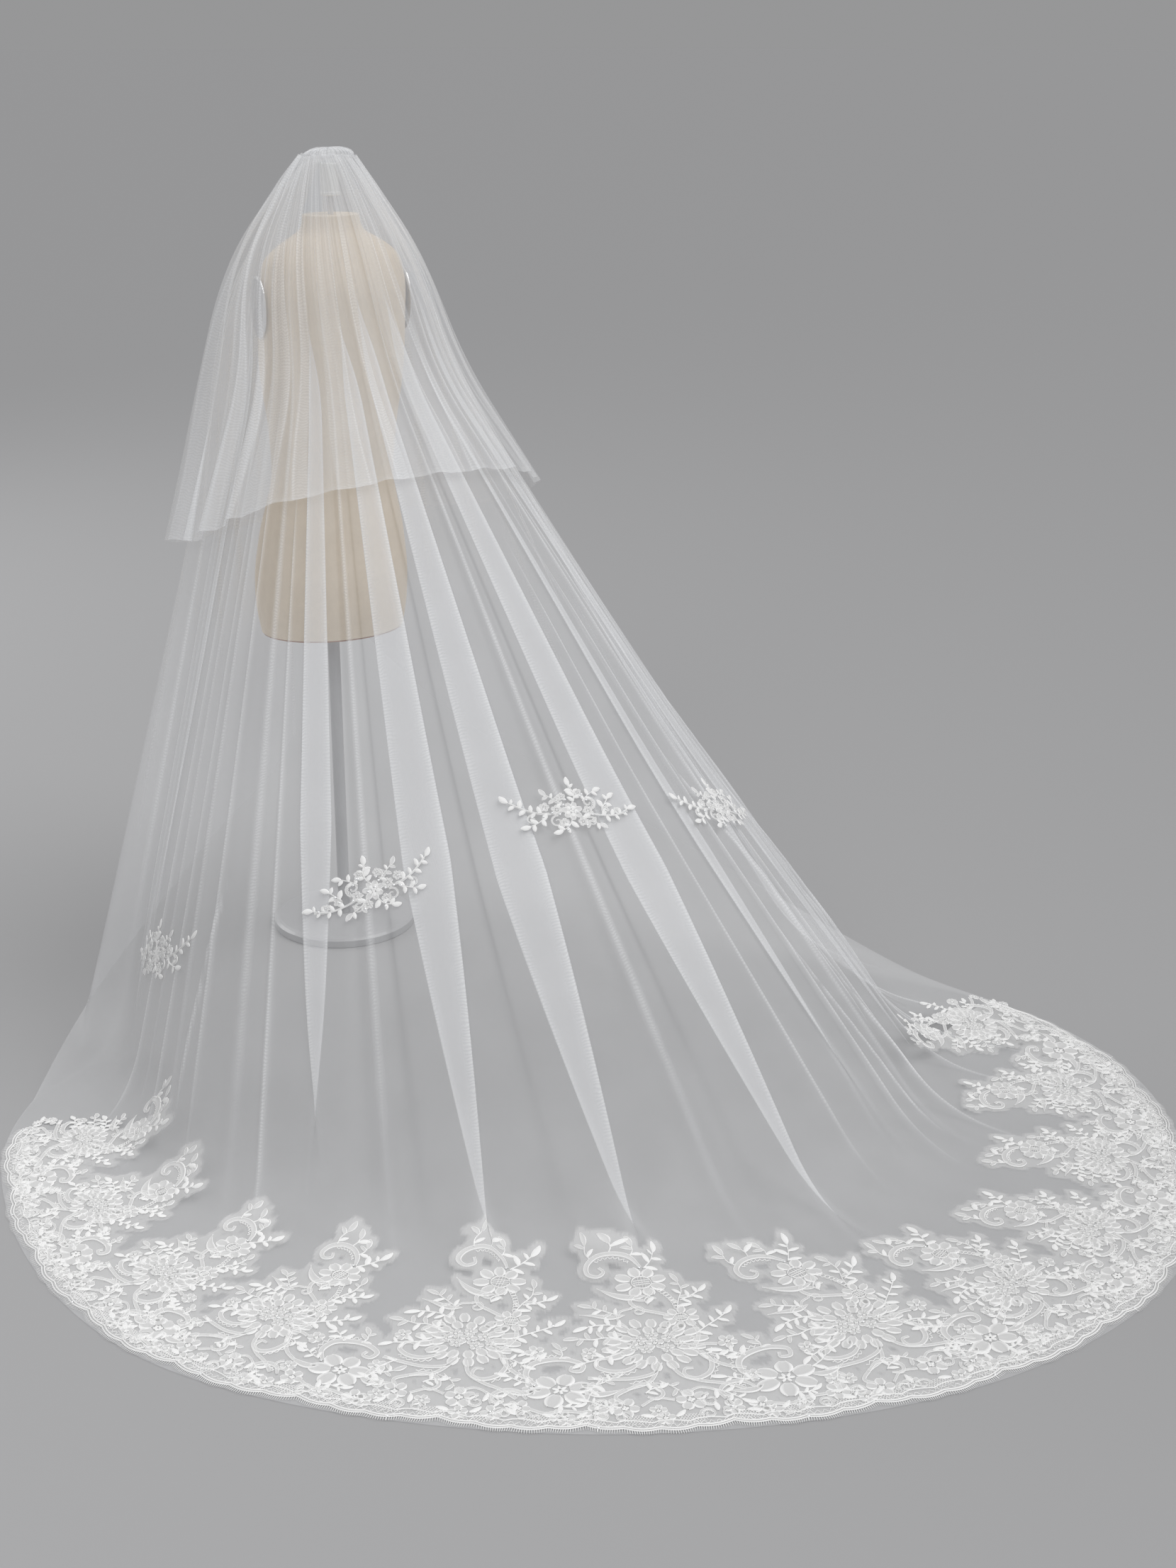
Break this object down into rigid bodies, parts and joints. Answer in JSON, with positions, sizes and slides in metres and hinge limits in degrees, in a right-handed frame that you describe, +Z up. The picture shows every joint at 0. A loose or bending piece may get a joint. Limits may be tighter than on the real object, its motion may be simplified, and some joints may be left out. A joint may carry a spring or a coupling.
{
  "type": "two-tier bridal veil on a dress form",
  "caption": "Two-tier bridal veil with a long lace-edged train, draped over a limbless dress form that stands on a pole and round base.",
  "frame": {"origin": "centre of the underside of the stand's round base", "axes": "+Z up, the form faces +Y, the train runs back along -Y, +X is the wearer's right-hand side seen from behind"},
  "size_m": [1.9862, 2.2076, 1.6118],
  "materials": {
    "tulle": "soft sheer tulle net",
    "lace": "corded satin-stitch lace on net",
    "linen": "plain beige linen cover",
    "copper_edge": "satin copper-brown",
    "steel": "polished",
    "white_plastic": "white moulded",
    "painted_stand": "satin grey paint"
  },
  "bodies": {
    "root": {"veil_long_tier": "tulle", "veil_short_tier": "tulle", "comb_header": "tulle", "lace_border": "lace", "applique_1": "lace", "applique_2": "lace", "applique_3": "lace", "applique_4": "lace", "form_torso": "linen", "form_foot_plate": "copper_edge", "arm_plate_left": "steel", "arm_plate_right": "steel", "neck_rod": "steel", "neck_cap": "white_plastic", "stand_pole": "painted_stand", "stand_base": "painted_stand"}
  },
  "joints": []
}
